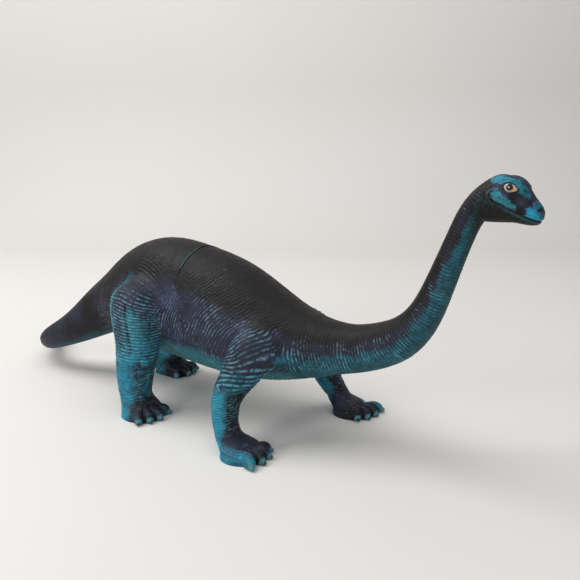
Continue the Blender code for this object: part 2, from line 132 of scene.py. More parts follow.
# Both ends of a path set out straight along the body for this length
LEAD = 0.01
torso_rows = []
for x, top, bottom, half_width, draw_in in TORSO_SHARES:
    middle = Vector((x, 0, (top + bottom) / 2 * BACK_HEIGHT))
    half_height = (top - bottom) / 2 * BACK_HEIGHT
    torso_rows.append(ring(middle, FORWARD, LEFT, half_width * TORSO_WIDTH, half_height, draw_in=draw_in))

neck_start = Vector((FRONT_LENGTH, 0, NECK_MOUTH_HEIGHT))
nape = neck_start + Vector((NECK_REACH, 0, NECK_RISE))
middles = [neck_start + Vector((r * NECK_REACH, 0, h * NECK_RISE)) for r, h, _ in NECK_SHARES]
neck_rows = [
    ring(middle, along, LEFT, radius * NECK_THICKNESS, radius * NECK_THICKNESS)
    for middle, along, radius in path_rows(
        middles, [row[2] for row in NECK_SHARES], neck_start - FORWARD * LEAD, nape)
]
neck_path = middles + [nape]

middles = [
    Vector((-REAR_LENGTH - r * TAIL_REACH, s * TAIL_SWING, h * TAIL_MOUTH_HEIGHT))
    for r, s, h, _ in TAIL_SHARES
]
tail_rows = [
    ring(middle, along, along.cross(-UP), radius * TAIL_THICKNESS, radius * TAIL_THICKNESS)
    for middle, along, radius in path_rows(
        middles, [row[3] for row in TAIL_SHARES], middles[0] + FORWARD * LEAD,
        middles[-1] * 2 - middles[-2])
]
tail_path = middles


def stand(name, data):
    """Puts a new object into the scene."""
    new = bpy.data.objects.new(name, data)
    bpy.context.scene.collection.objects.link(new)
    return new


def form(sections):
    """Points and four-sided faces of the smooth closed form through sections."""
    bm = bmesh.new()
    # Smoothing draws a ring in by this share
    fullness = (4 + 2 * cos(2 * pi / RING_POINTS)) / 6
    loops = []
    for centre, side, up, half_side, half_up, half_down, draw_in in sections:
        loop = []
        for k in range(RING_POINTS):
            angle = 2 * pi * k / RING_POINTS
            across = cos(angle) * half_side / fullness * (1 + draw_in * min(0, sin(angle)))
            along = sin(angle) * (half_up if sin(angle) > 0 else half_down) / fullness
            loop.append(bm.verts.new(centre + side * across + up * along))
        loops.append(loop)
    for first, second in zip(loops, loops[1:]):
        for k in range(RING_POINTS):
            after = (k + 1) % RING_POINTS
            bm.faces.new((first[k], first[after], second[after], second[k]))
    bm.faces.new(loops[0][::-1])
    bm.faces.new(loops[-1])
    bmesh.ops.recalc_face_normals(bm, faces=bm.faces)
    mesh = bpy.data.meshes.new("cage")
    bm.to_mesh(mesh)
    bm.free()
    cage = stand("cage", mesh)
    cage.modifiers.new("smooth", "SUBSURF").levels = 3
    smooth = bpy.data.meshes.new_from_object(cage.evaluated_get(bpy.context.evaluated_depsgraph_get()))
    points = np.empty(len(smooth.vertices) * 3, np.float32)
    smooth.vertices.foreach_get("co", points)
    quads = np.empty(len(smooth.loops), np.int32)
    smooth.loops.foreach_get("vertex_index", quads)
    bpy.data.objects.remove(cage)
    return points.reshape(-1, 3), quads.reshape(-1, 4).astype(np.uint32)


# How far from a form its distances are worked out
REACH = 0.0075


class Block:
    """The grid of points that one moulding is shaped in."""

    def __init__(self, low, high, step):
        self.step = step
        self.first = np.floor(np.array(low) / step).astype(int)
        self.count = np.ceil(np.array(high) / step).astype(int) - self.first + 1
        axes = [
            ((first + np.arange(count)) * step).astype(np.float32)
            for first, count in zip(self.first, self.count)
        ]
        self.places = np.meshgrid(*axes, indexing="ij", sparse=True)

    def distance(self, shape):
        """How far each point of the grid is outside a closed form."""
        points, quads = shape
        grid = openvdb.FloatGrid.createLevelSetFromPolygons(
            points, quads=quads, transform=openvdb.createLinearTransform(self.step),
            halfWidth=REACH / self.step)
        values = np.empty(self.count, np.float32)
        grid.copyToArray(values, ijk=tuple(int(k) for k in self.first))
        return values

    def plane(self, point, normal):
        """How far each point is past a plane."""
        return sum(float(n) * (place - float(p)) for n, place, p in zip(normal, self.places, point))

    def egg(self, centre, turn, sizes):
        """Roughly how far each point is outside an egg shape with the given half sizes."""
        offsets = [place - float(c) for place, c in zip(self.places, centre)]
        total = 0
        for k in range(3):
            total = total + (sum(float(turn[j][k]) * offsets[j] for j in range(3)) / sizes[k]) ** 2
        return (np.sqrt(total) - 1) * min(sizes)

    def sample(self, values, points):
        """The values at points between the grid's points."""
        at = np.clip(points / self.step - self.first, 0, np.array(self.count) - 1.001)
        base = at.astype(int)
        part = at - base
        total = np.zeros(len(points))
        for corner in np.ndindex(2, 2, 2):
            weight = np.prod(np.where(corner, part, 1 - part), axis=1)
            total += weight * values[tuple((base + corner).T)]
        return total

    def slope(self, values, points):
        """The direction in which the values rise at points."""
        slope = np.stack([
            self.sample(values, points + step) - self.sample(values, points - step)
            for step in self.step * np.eye(3)], axis=1)
        return slope / np.maximum(np.linalg.norm(slope, axis=1, keepdims=True), 1e-9)

    def skin(self, values):
        """Points and faces of the surface where the values pass zero."""
        grid = openvdb.FloatGrid(REACH)
        grid.copyFromArray(
            np.ascontiguousarray(values, np.float32), ijk=tuple(int(k) for k in self.first))
        grid.transform = openvdb.createLinearTransform(self.step)
        return grid.convertToQuads()


def blended(a, b, width):
    """The union of two forms with a soft hollow of the given width where they meet."""
    near = np.maximum(width - np.abs(a - b), 0) / width
    return np.minimum(a, b) - near * near * width / 4


def rising(value, start, end):
    """0 before start, 1 after end and a soft change between."""
    t = np.clip((value - start) / (end - start), 0, 1)
    return t * t * (3 - 2 * t)


def falling(value, start, end):
    """1 before start, 0 after end and a soft change between."""
    return 1 - rising(value, start, end)


def ridge(value, width):
    """1 where the value is 0, gone softly on either side of it."""
    return np.exp(-(value / width) ** 2)


def mixed(start, end, share):
    """The start where the share is 0, the end where it is 1."""
    return start * (1 - share) + end * share


def bump_at(points, centre, size):
    """A soft spot of 1 at a place, gone at the given size."""
    return np.exp(-2 * (((points - np.array(centre)) / np.array(size)) ** 2).sum(axis=1))


# The noise repeats after this many lumps
LUMPS = 24


def grain(points, size, seed):
    """Smooth noise from -1 to 1 with lumps of a given size."""
    lattice = np.random.default_rng(seed).uniform(-1, 1, [LUMPS] * 3)
    at = points / size + 12.3
    base = np.floor(at).astype(int)
    part = rising(at - base, 0, 1)
    total = np.zeros(len(points))
    for corner in np.ndindex(2, 2, 2):
        weight = np.prod(np.where(corner, part, 1 - part), axis=1)
        total += weight * lattice[tuple(((base + corner) % LUMPS).T)]
    return total


def crests(way, spacing):
    """Narrow ridges, one each spacing, from 0 between them to 1 on top."""
    return (0.5 + 0.5 * np.cos(2 * pi * way / spacing)) ** 1.5


# Places in the wrinkles and the paint are in millimetres, the way a mould maker would mark them
HIP = (-26.6, 57)
# The hind legs stand behind this place and the front legs ahead of it
BETWEEN_LEGS = 12
KNEES = [(-12.7, -35.6, 30.9), (-29.5, 29.5, 31)]
# The flank's wrinkles bend round this corner and run on into the slope of the shoulder
FLANK_CORNER = (80, 10)
FLANK_SLOPE = radians(36)
# The legs drawn so far, which the wrinkles on and beside them follow
drawn_legs = []


def beside_leg(points):
    """How far ahead of the middle of the nearest leg a place lies."""
    x, y, z = points.T
    middle = np.zeros(len(x))
    for leg in drawn_legs:
        mine = ((x > BETWEEN_LEGS) == (leg.middles[0, 0] > BETWEEN_LEGS)) & ((y > 0) == (leg.side > 0))
        middle = np.where(mine, np.interp(z, leg.middles[:, 2], leg.middles[:, 0]), middle)
    return x - middle


def back_line(x):
    """Height of the back over a place along the body."""
    return BACK_HEIGHT * TO_MM * np.interp(
        x / TO_MM, [row[0] for row in TORSO_SHARES], [row[1] for row in TORSO_SHARES])


def flank_way(x, z):
    """Distance from the flank's corner: arcs that straighten out over the shoulder."""
    dx, dz = x - FLANK_CORNER[0], z - FLANK_CORNER[1]
    along = dx * cos(FLANK_SLOPE) + dz * sin(FLANK_SLOPE)
    across = -dx * sin(FLANK_SLOPE) + dz * cos(FLANK_SLOPE)
    return np.where(along > 0, across, np.hypot(dx, dz))


chest_path = [row[0] for row in torso_rows[-2:]] + neck_path


def along_neck(points):
    """Length along the neck from its seam, and how far round from the throat, -1, to the back, 1."""
    path = np.array([tuple(p) for p in chest_path]) * TO_MM
    lengths = np.concatenate([[0], np.cumsum(np.linalg.norm(np.diff(path, axis=0), axis=1))])
    # The path starts two rows before the neck's seam
    lengths -= lengths[2]
    best, way, side = np.full(len(points), 1e9), np.zeros(len(points)), np.zeros(len(points))
    for k in range(len(path) - 1):
        step = path[k + 1] - path[k]
        size = np.linalg.norm(step)
        t = (points - path[k]) @ step / size ** 2
        held = np.clip(t, -9 if k == 0 else 0, 9 if k == len(path) - 2 else 1)
        off = points - path[k] - held[:, None] * step
        far = np.linalg.norm(off, axis=1)
        nearer = far < best
        best = np.where(nearer, far, best)
        way = np.where(nearer, lengths[k] + held * size, way)
        up = np.array((-step[2], 0, step[0])) / size
        side = np.where(nearer, off @ up / np.maximum(far, 1e-6), side)
    return way, side


WRINKLE_SPACING = 1.75


def neck_skin(points):
    """Height of the rings round the neck and chest, how far their tops are rubbed back and painted with
    highlight, and the shares of dark and of purple spray."""
    way, side = along_neck(points)
    warp = 0.5 * grain(points, 7, 11) + 0.35 * grain(points, 2.6, 12)
    # The rings lie closer together higher up
    warp += 0.12 * way + 0.12 * np.maximum(way - 30, 0)
    amount = np.clip(0.8 + 0.5 * grain(points, 4, 13), 0.2, 1) * (1 - 0.35 * rising(way, 25, 50))
    amount *= (1 - 0.45 * rising(-side, .45, .85)) * (1 - 0.5 * rising(side, .3, .8))
    height = crests(way + warp, WRINKLE_SPACING) * amount
    dashes = np.clip(0.84 + 0.9 * grain(points, 1.0, 9), 0.25, 1.2)
    reached = falling(side + 0.3 * grain(points, 5, 5), .25, .8)
    reached *= 1 - 0.35 * rising(way, 60, 88)
    leather = np.clip(1 - 2.2 * np.abs(grain(points, 0.9, 17)), 0, 1)
    # A thin line of flash where the mould's halves met under the throat
    flash = ridge(points[:, 1] + 4.2 + 0.5 * grain(points, 6, 19), .4) * rising(-side, .5, .7)
    flash *= rising(way, -22, -12) * falling(way, 18, 30)
    # Small glints dotted along the rings on the chest's sides are painted highlight
    painted_glints = rising(grain(points, 0.9, 33), .25, .55) * ridge(side - .3, .22)
    rub_and_highlight = reached * (height ** 1.4 * dashes + 0.15 * leather) + 0.7 * height * painted_glints + 0.5 * flash
    purple = 0.25 + 0.4 * grain(points, 6, 5)
    purple += 0.35 * ridge(side - .05, .35) * falling(way, 35, 60)
    purple = 0.75 * purple * rising(-side, -.6, -.2)
    cover = 0.44 + 0.56 * rising(side + 0.2 * grain(points, 5, 14), -0.3, 0.4)
    cover += 0.25 * rising(way, 62, 88) * rising(side, -.7, 0)
    cover += 0.08 * grain(points, 2.2, 6)
    # The grooves between the rings are painted darker as painted shade, and the rubbed tops lighter
    cover += reached * (0.24 - 0.5 * height * dashes - 0.04 * leather)
    return (height - 0.3 * amount) * 0.34 + 0.07 * leather + 0.12 * flash, rub_and_highlight, cover, purple


def hide(points, on_leg):
    """Height of the wrinkles, how far their tops are rubbed back and painted with highlight, and the
    shares of spray, of purple in it and of bright blue in the cast colour. on_leg runs from 0 on the body
    to 1 on the legs."""
    x, y, z = points.T
    warp = 0.9 * grain(points, 9, 1) + 0.45 * grain(points, 3.4, 2)
    mottle, fine = grain(points, 6, 5), grain(points, 2.2, 6)
    depth = back_line(x) - z
    beside = beside_leg(points)
    front = x > BETWEEN_LEGS
    # The black reaches half as far down from the back over the chest
    scaled = depth / np.interp(x, [-25, 0, 30, 60], [1.15, 1, 1, .5])
    # Where each run of wrinkles shows
    low = falling(z, 28, 33)
    ahead = rising(x + 0.12 * (z - 57), -13, -6) * (1 - on_leg)
    chest = rising(x, 62, 72) * (1 - on_leg)
    shin = on_leg * low
    arm = on_leg * front * (1 - low)
    behind = rising(-x, 50, 58) * (1 - on_leg)
    thigh = (1 - ahead) * ~front * (1 - shin) * (1 - 0.8 * behind)
    # The flank's lines swing round into the arm's at the armpit, as a fan
    slant = 0.15 + 0.55 * rising(z, 38, 50)
    arm_lines = (z - slant * beside + 0.02 * beside ** 2) / 2.3 + 6.4
    lines = mixed((flank_way(x, z) + 0.8 * warp) / WRINKLE_SPACING, arm_lines + 0.35 * warp, arm)
    height = np.maximum(ahead - chest, arm) * crests(lines, 1)
    arch = 0.020 * rising(z, 46, 66) * np.minimum(beside ** 2, 260)
    height += thigh * crests(z + 0.10 * beside + arch + 0.6 * warp, WRINKLE_SPACING)
    foot = on_leg * falling(z, 8, 13)
    height += shin * crests(z - 0.3 * beside + 0.9 * grain(points, 3, 4), 1.35) * (0.8 - 0.5 * foot)
    broken = np.clip(0.86 + 0.4 * grain(points, 5, 3), 0.3, 1)
    covered = 0.22 + 0.78 * rising(scaled + 3 * mottle, 4, 20)
    leathery = falling(z + 0.1 * x + mottle, 38, 52) * (1 - on_leg)
    covered *= 1 - 0.65 * leathery
    amount = broken * covered * (1 - chest)
    dashes = np.clip(0.84 + 0.8 * grain(points, 1.0, 9), 0.3, 1.2)
    height *= amount
    leather = np.clip(1 - 2.6 * np.abs(grain(points, 1.5, 7)), 0, 1)
    # The thigh's two upright grooves, and the knob of the knee with a fold under it
    grooves = [ridge(beside - place, 0.9) for place in (-5.2, 5.6)]
    grooves = sum(grooves) * ~front * on_leg * rising(z, 33, 40) * falling(z, 58, 66)
    to_knee = np.minimum(*[np.linalg.norm(points - np.array(knee), axis=1) for knee in KNEES])
    knee = falling(to_knee, 1, 3.2)
    under_knee = ridge(to_knee - 3.5, 0.7)
    rise = (height * (0.7 + 0.3 * dashes) - 0.3 * amount) * 0.42 + (0.12 + 0.08 * leathery) * leather
    rise = rise - 0.9 * grooves + 0.8 * knee - 0.25 * under_knee

    # Paint: the tops of the wrinkles are rubbed back and painted with highlight where they stand clear of
    # the black back
    start = np.interp(x, [-10, 30], [13, 9])
    reached = rising(scaled + 4 * mottle, start, start + 12)
    # Pale specks high on the flank are painted glints
    specks = rising(grain(points, 1.0, 31), .56, .66) * bump_at(points, (22, -17, 79), (20, 40, 13))
    skin_tops = (0.14 + 0.5 * leathery + 0.3 * low * on_leg) * leather
    rub_and_highlight = reached * (height ** 1.4 * dashes * (1 - 0.3 * shin) + skin_tops) + 0.7 * specks
    rub_and_highlight += 0.8 * height * bump_at(points, (1.2, -24, 68), (3, 20, 5))
    top = falling(scaled, 8, 30)
    belly = falling(z + 0.08 * x + 1.5 * mottle, 36, 44) * (1 - on_leg)
    cover = np.maximum(0.88 - 0.66 * belly + 0.10 * mottle, top)
    band = np.interp(
        beside + 0.7 * mottle, [-19, -14, -9.5, -6.5, -4, 1.5, 4, 6, 9, 12, 14, 20],
        [1.0, .72, .26, .34, .74, .74, .42, .22, .22, .50, .70, .78])
    hip_far = np.hypot(x - HIP[0], z - HIP[1])
    near_thigh = np.maximum(falling(hip_far, 17, 26) * ~front, on_leg * ~front)
    near_thigh *= falling(z + 2 * mottle + 11 * rising(beside, -5, 0), 65, 76)
    cover = mixed(cover, band, near_thigh)
    below = on_leg * falling(z, 22, 48)
    shin_cover = np.where(front, 0.62 * rising(beside, 2, 6), 0.04 + 0.45 * rising(beside, 3, 9))
    shin_cover += 0.3 * rising(-beside, 5, 9)
    cover = mixed(cover, shin_cover + 0.2 * mottle + 0.08 * fine, below)
    arm_cover = 0.62 + 0.26 * rising(z, 36, 46) + 0.15 * mottle
    cover = mixed(cover, arm_cover, arm)
    foot_top = on_leg * rising(z, 4, 6.5) * falling(z, 9, 13) * rising(beside, -1, 4)
    foot_top *= np.where(front, 0.8, 0.35)
    cover += 0.6 * foot_top
    patch = bump_at(points, (65, -18, 44), (4.5, 40, 3.6)) * (1 - 0.5 * on_leg)
    cover = mixed(cover, 0.66 + 0.44 * rising(z, 32, 38), behind)
    # The thigh's grooves and the fold under the knee are painted darker as painted shade; the knob of the
    # knee is lighter
    cover = cover - 0.7 * patch + 0.10 * fine - 0.2 * knee + 0.12 * under_knee + 0.45 * grooves
    # The grooves between the wrinkles are painted darker as painted shade, and the tops show more of the
    # cast colour on the legs
    groove_shade = 0.18 + 0.14 * shin
    lifted = 0.36 + 0.28 * on_leg - 0.22 * shin
    cover += reached * (groove_shade * np.clip(amount * 1.3, 0, 1) - lifted * height * dashes)
    purple = 0.55 + 0.4 * mottle + 0.4 * bump_at(points, (-4, 0, 58), (9, 90, 20))
    purple += 0.4 * bump_at(points, (16, 0, 42), (20, 90, 7)) + 0.3 * foot_top
    purple = purple - 1.2 * falling(scaled, 6, 22) - 0.4 * below - 0.4 * behind
    bright = 0.25 + 0.3 * mottle + 0.6 * patch + 0.35 * below - 0.3 * belly
    neck_rise, neck_rub_and_highlight, neck_cover, neck_purple = neck_skin(points)
    rise += chest * (neck_rise - 0.12 * leather)
    rub_and_highlight = mixed(rub_and_highlight, neck_rub_and_highlight, chest)
    cover, purple = mixed(cover, neck_cover, chest), mixed(purple, neck_purple, chest)
    return rise, rub_and_highlight, np.clip(np.stack([cover, purple, bright], axis=1), 0, 1)


def linear(code):
    """A colour code as linear light."""
    shares = [int(code[k:k + 2], 16) / 255 for k in (1, 3, 5)]
    return [s / 12.92 if s <= 0.04045 else ((s + 0.055) / 1.055) ** 2.4 for s in shares] + [1]


def fill(target, **inputs):
    """Fills a node's inputs with values or with other nodes' outputs; a node alone gives its first."""
    for name, value in inputs.items():
        name = name.replace("_", " ")
        socket = target.inputs[int(name[1:])] if name[1:].isdigit() else target.inputs[name]
        value = getattr(value, "outputs", [value])[0]
        if hasattr(value, "is_linked"):
            target.id_data.links.new(value, socket)
        else:
            socket.default_value = value
    return target


def node(tree, kind, settings=(), **inputs):
    """Adds a node, sets its properties and fills its inputs."""
    new = tree.nodes.new("ShaderNode" + kind)
    for name, value in settings:
        setattr(new, name, value)
    return fill(new, **inputs)


def new_material(name):
    """A material, its nodes and its shader."""
    material = bpy.data.materials.new(name)
    material.use_nodes = True
    return material, material.node_tree, material.node_tree.nodes["Principled BSDF"]


# Settings of nodes that mix colours and that multiply and add
COLOUR = [("data_type", "RGBA")]
MULTIPLY_ADD = [("operation", "MULTIPLY_ADD")]


def soft_vinyl(name):
    """Cast PVC vinyl under airbrushed paint. The cast teal shows where the black and purple spray is thin,
    and the wrinkles' tops are rubbed back to a pale tint of it that is also painted highlight; the skin
    has a soft satin gloss."""
    material, tree, shader = new_material(name)
    place = node(tree, "TexCoord").outputs["Object"]
    paint = node(tree, "Attribute", [("attribute_name", "paint")])
    rub_highlight_share = node(tree, "Attribute", [("attribute_name", "rub_highlight_share")])
    masks = node(tree, "SeparateColor", i0=paint.outputs["Color"])
    # Sizes in millimetres: the airbrush's droplets are drawn coarser than real so that they show, as are
    # the pores of the moulded skin, which are really 0.2 mm wide; the clouds are passes of the brush
    droplet, pore, pass_width = 0.625, 0.5, 3.846
    speckle = node(tree, "TexNoise", Vector=place, Scale=TO_MM / droplet, Detail=3.0, Roughness=0.6)
    cloud = node(tree, "TexNoise", Vector=place, Scale=TO_MM / pass_width, Detail=2.0)
    colour = node(tree, "Mix", COLOUR, i0=masks.outputs[2], i6=linear("#26767f"), i7=linear("#1e93b3"))
    over = node(tree, "Mix", COLOUR, i0=masks.outputs[1], i6=linear("#181615"), i7=linear("#313449"))
    broken = node(tree, "Math", MULTIPLY_ADD, i0=speckle, i1=0.6, i2=masks.outputs[0])
    cover = node(tree, "MapRange", i0=broken, i1=0.38, i2=1.12, i3=0.0, i4=1.0)
    colour = node(tree, "Mix", COLOUR, i0=cover, i6=colour.outputs[2], i7=over.outputs[2])
    tops = node(tree, "Math", MULTIPLY_ADD, i0=cloud, i1=0.5, i2=-0.62)
    tops = node(tree, "Math", MULTIPLY_ADD, i0=speckle, i1=0.8, i2=tops)
    rub_highlight_mix = node(tree, "Math", [("operation", "ADD")], i0=rub_highlight_share.outputs["Fac"], i1=tops)
    rub_highlight_mix = node(tree, "MapRange", i0=rub_highlight_mix, i1=0.35, i2=1.1, i3=0.0, i4=0.6)
    # The pale rub colour on the wrinkles' tops is partly worn paint and partly painted highlight
    colour = node(tree, "Mix", COLOUR, i0=rub_highlight_mix, i6=colour.outputs[2], i7=linear("#7897a6"))
    pores = node(tree, "TexNoise", Vector=place, Scale=TO_MM / pore, Detail=2.0)
    bump = node(tree, "Bump", Strength=0.35, Distance=0.0002, Height=pores)
    # The spray is matt; where it is rubbed off the wrinkles' tops the bare vinyl glints
    gloss = node(tree, "MapRange", i0=cloud, i1=0.3, i2=0.7, i3=0.46, i4=0.60)
    gloss = node(tree, "Math", MULTIPLY_ADD, i0=rub_highlight_mix, i1=-0.35, i2=gloss)
    # The matt spray scatters most of the gloss that bare vinyl would have
    fill(shader, Base_Color=colour.outputs[2], Normal=bump, Roughness=gloss, IOR=1.53,
         Specular_IOR_Level=0.15)
    return material


def paint_points(mesh, name, colours):
    """Stores a colour for each point of a mesh."""
    layer = mesh.attributes.new(name, "FLOAT_COLOR", "POINT")
    layer.data.foreach_set("color", colours.ravel().astype(np.float32))


SHARP_EDGE = radians(65)
EDGE_PASSES = 4


def moulding(name, block, outer, cuts, material, body, dress):
    """Makes the skin of one moulding, cut off at its seams, and sets it in the CAD node's place."""
    values = outer
    for seam in cuts:
        values = np.maximum(values, seam)
    points, quads = block.skin(values)
    points = points.astype(float)
    # One step of correction brings each point onto the true surface
    step = block.step
    slope = block.slope(values, points)
    points -= slope * np.clip(block.sample(values, points), -step / 3, step / 3)[:, None]
    # Points beside a seam's edge move onto the edge, which keeps the seam as thin as it should be
    for seam in cuts:
        near = np.abs(block.sample(outer, points)) < .7 * step
        near = np.flatnonzero(near & (np.abs(block.sample(seam, points)) < .7 * step))
        for _ in range(EDGE_PASSES):
            for side in (seam, outer):
                at = points[near]
                points[near] = at - block.slope(side, at) * block.sample(side, at)[:, None]
        slope[near] = block.slope(outer, points[near])
    rise, rub_and_highlight, paint = dress(points * TO_MM, slope)
    points += slope * rise[:, None] / TO_MM
    # The relief stays inside the solids' box
    points = np.clip(points, *[np.array(corner) - np.array(SEAM_PLACE) for corner in cad_bounds])
    mesh = bpy.data.meshes.new(name)
    mesh.from_pydata(points.tolist(), [], quads.tolist())
    mesh.attributes.new("rub_highlight_share", "FLOAT", "POINT").data.foreach_set("value", rub_and_highlight.astype(np.float32))
    paint_points(mesh, "paint", np.concatenate([paint, np.ones((len(paint), 1))], axis=1))
    mesh.transform(Matrix.Translation(SEAM_PLACE))
    mesh.shade_smooth()
    mesh.set_sharp_from_angle(angle=SHARP_EDGE)
    mesh.materials.append(material)
    piece = stand(name + "_skin", mesh)
    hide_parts(name)
    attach(piece, body)


HIP_THICKNESS = 0.031
SHOULDER_THICKNESS = 0.023
LEG_SEAM_TILT = radians(12)
# What turns with a leg, as a share of the leg's thickness round its axis
SWEEP_SHARE = 0.60
# How far a leg's root reaches into the body, and its drawing below the ground
ROOT_DEPTH = 0.008
SOLE_DEPTH = 0.004
FOOT_LENGTH = 0.026
FOOT_WIDTH = 0.0225
FOOT_HEIGHT = 0.0095


class Leg:
    """A leg's seam, path and form. Rows of the path are how far down, ahead and outward a middle lies,
    and its half length and half width, as shares."""

    def __init__(self, name, joint, side, thickness, foot, path, foot_shares, toes):
        self.name = name
        self.joint = Vector(joint)
        self.side = side
        self.thickness = thickness
        self.out = Vector((0, side * cos(LEG_SEAM_TILT), -sin(LEG_SEAM_TILT)))
        self.foot = Vector((*foot, 0))
        self.toes = toes
        height, radius = self.joint.z, thickness / 2
        rings = [
            ring(self.joint + self.out * far, self.out, FORWARD, radius, radius)
            for far in (-ROOT_DEPTH, 0)
        ]
        near = self.joint + self.out * radius * 0.4
        rings.append(ring(near, self.out - UP * 0.5, FORWARD, radius, radius))
        middles = [near]
        spread, reach = abs(self.joint.y), abs(self.foot.y) - abs(self.joint.y)
        for down, ahead, outward, *_ in path:
            middles.append(Vector((
                self.joint.x + ahead * height, side * (spread + outward * reach), height * (1 - down))))
        middles.append(self.foot + Vector((foot_shares[0][1] * FOOT_LENGTH, 0, FOOT_HEIGHT)))
        for before, middle, after, row in zip(middles, middles[1:], middles[2:], path):
            rings.append(ring(middle, after - before, FORWARD, row[3] * thickness, row[4] * thickness))
        for high, shift, length, width in foot_shares:
            middle = self.foot + Vector((shift * FOOT_LENGTH, 0, high * FOOT_HEIGHT))
            rings.append(ring(middle, -UP, FORWARD, length * FOOT_LENGTH / 2, width * FOOT_WIDTH / 2))
        rings.append(ring(self.foot - UP * SOLE_DEPTH, -UP, FORWARD, FOOT_LENGTH / 2, FOOT_WIDTH / 2))
        self.form = form(rings)
        # The leg's middles from the sole up, to a tenth of a millimetre with halves rounded up
        from_sole = [tuple(place) for place in [self.joint, *middles[1:]][::-1]]
        self.middles = (np.array(from_sole) * TO_MM + 0.002).round(1)
        drawn_legs.append(self)

    def share(self, block):
        """The part of the grid that turns with the leg: outside the seam plane, near the leg's axis or
        on the leg itself."""
        plane = block.plane(self.joint, self.out)
        x, y, z = block.places
        offset_x, offset_y, offset_z = x - self.joint.x, y - self.joint.y, z - self.joint.z
        square = offset_x ** 2 + offset_y ** 2 + offset_z ** 2 - plane ** 2
        from_axis = np.sqrt(np.maximum(square, 0)) - SWEEP_SHARE * self.thickness
        return plane, from_axis


TOE_WIDTH = 0.0062
TOE_HEIGHT = 0.0072
# Each toe's turn outward from the way ahead, how far out its middle lies and its half length
HIND_TOES = [(48, .0112, .0047), (24, .0108, .0044), (0, .0110, .0044), (-36, .0110, .0044)]
FRONT_TOES = [(33, .0120, .0056), (7, .0110, .0045), (-18, .0106, .0043), (-43, .0102, .0042)]
HIND_FOOT = [(1, -.15, .64, .76), (.62, 0, .83, .93), (.15, .04, .92, 1)]
hind_right = Leg(
    "hind_leg_right", (-.0266, -.026, .057), -1, HIP_THICKNESS, (-.018335, -.03468),
    [(.20, .040, .40, .430, .400), (.36, .065, .60, .385, .360), (.58, .052, .86, .345, .325),
     (.76, .055, .96, .290, .275)], HIND_FOOT, HIND_TOES)
hind_left = Leg(
    "hind_leg_left", (-.0266, .026, .057), 1, HIP_THICKNESS, (-.05453, .02244),
    [(.20, -.030, .45, .430, .400), (.36, -.130, .65, .380, .360), (.58, -.340, .88, .335, .325),
     (.76, -.530, .95, .285, .275)], HIND_FOOT, HIND_TOES)

torso_form = form([flipped(row) for row in tail_rows[2::-1]] + torso_rows + neck_rows[:3])
# Every moulding has the same cast colour and paint; the painted shares make one dark and another blue
dark_vinyl, blue_vinyl = soft_vinyl("dark_soft_vinyl"), soft_vinyl("blue_soft_vinyl")

# Widths of the soft hollows round a leg's root and round the toes
LEG_HOLLOW = 0.0075
TOE_HOLLOW = 0.0014
# A leg's own skin turns with it, and so does what lies this close over it
SKIN_OVER_LEG = 0.0025
# The body's grid and room; a finer grid would pass the faces that one piece may have
BODY_GRID = 0.00049
MARGIN = 0.002
BODY_HALF_ROOM = 0.034
BODY_BOTTOM = 0.015
BODY_TOP = 0.099
# Wrinkles fade in from the tail's seam over these millimetres, so that the tail turns without catching
TAIL_EDGE = (.2, 1.6)


def body_moulding(name, low_x, high_x, legs):
    """One half of the body between two upright planes, without what turns with its legs."""
    low = (low_x - MARGIN, -BODY_HALF_ROOM, BODY_BOTTOM)
    high = (high_x + MARGIN, BODY_HALF_ROOM, BODY_TOP)
    block = Block(low, high, BODY_GRID)
    torso = block.distance(torso_form)
    whole, leg_near, cuts = torso, np.full(torso.shape, REACH, np.float32), []
    for leg in legs:
        distances = block.distance(leg.form)
        whole = blended(whole, distances, LEG_HOLLOW)
        leg_near = np.minimum(leg_near, distances)
        plane, from_axis = leg.share(block)
        cuts.append(SEAM_GAP - np.maximum(-plane, np.minimum(from_axis, distances - SKIN_OVER_LEG)))
    x = block.places[0] + torso * 0
    cuts += [low_x + SEAM_GAP - x, x - high_x + SEAM_GAP]

    def dress(points, normals):
        on_leg = block.sample(torso, points / TO_MM) - block.sample(leg_near, points / TO_MM)
        rise, rub_and_highlight, paint = hide(points, rising(on_leg, -.002, .004))
        flat = rising(np.abs(normals[:, 0]), .85, .95)
        # The rear body's lip at the back seam, and the groove that the front body leaves beside it
        seam, high = points[:, 0], points[:, 2]
        lip = ridge(seam + .5, .38) * (seam < 0) * rising(high, 60, 66)
        groove = ridge(seam - .3, .5) * rising(high, 76, 80) * falling(high, 89.5, 91)
        rise = (rise + 0.38 * lip - 0.28 * groove) * (1 - flat)
        rise *= rising(seam + REAR_LENGTH * TO_MM, *TAIL_EDGE)
        shown = lip * rising(high, 80, 81.5) * falling(high, 89.3, 90.3)
        dotted = lip * rising(grain(points, 2.2, 8), .1, .4) * falling(high, 80, 81.5)
        rub_and_highlight += 0.45 * shown + 0.7 * dotted
        paint[:, 2] *= 1 - shown
        # The groove beside the lip is painted darker as painted shade
        paint[:, 0] = np.clip(paint[:, 0] - 0.8 * shown - 0.3 * dotted + 0.5 * groove, 0, 1)
        return rise, rub_and_highlight, paint

    moulding(name, block, whole, cuts, dark_vinyl, "body", dress)


LEG_GRID = 0.0004
LEG_MARGIN = 0.003
CLAW_ROOM = 0.004
GROUND_MARGIN = 0.0015
# Half sizes of a claw's root and of its tip
CLAW_ROOT = (.0016, .0014, .0016)
CLAW_TIP = (.0015, .0010, .0012)
CLAW_RADIUS = (1.7, 2.3)


